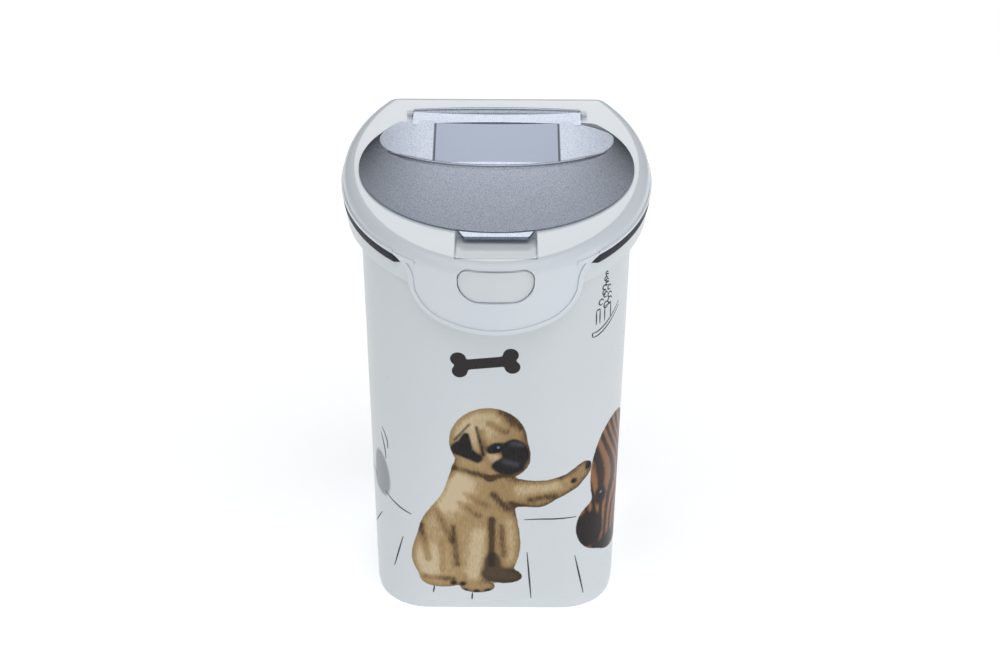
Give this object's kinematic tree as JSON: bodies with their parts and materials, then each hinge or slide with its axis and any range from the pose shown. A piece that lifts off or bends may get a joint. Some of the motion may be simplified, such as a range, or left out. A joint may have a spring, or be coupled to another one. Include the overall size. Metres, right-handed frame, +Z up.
{
  "type": "pet food bin",
  "caption": "Tapered D-shaped dry food bin with a rear-hinged lid, a front catch apron and a hinged pouring flap.",
  "frame": {"origin": "on the floor, under the middle of the bounding box", "axes": "+Z up, -Y towards the front with the catch apron, +X to the right seen from the front"},
  "size_m": [0.2632, 0.2827, 0.3898],
  "materials": {
    "tub_white": "smooth moulded polypropylene, satin to gloss",
    "printed_film": "printed film moulded into the wall",
    "seal_slate": "matt soft seal",
    "lid_white": "smooth moulded polypropylene, satin to gloss",
    "flap_silver": "metallic silver plastic with a fine sparkle grain",
    "pin_grey": "plain drawn pin"
  },
  "bodies": {
    "tub": {"bin_body": "tub_white", "wall_label": "printed_film", "seal_ring": "seal_slate", "lid_hinge_pins": "pin_grey"},
    "lid": {"lid_frame": "lid_white", "flap_hinge_pins": "pin_grey"},
    "flap": {"flap": "flap_silver", "flap_gasket": "seal_slate"}
  },
  "joints": [
    {"name": "lid_hinge", "type": "hinge", "parent": "tub", "child": "lid", "pos_m": [0, 0.13665, 0.356], "axis": [-1, 0, 0], "range_deg": [0, 100]},
    {"name": "flap_hinge", "type": "hinge", "parent": "lid", "child": "flap", "pos_m": [0, 0.09465, 0.3836], "axis": [-1, 0, 0], "range_deg": [0, 110]}
  ]
}
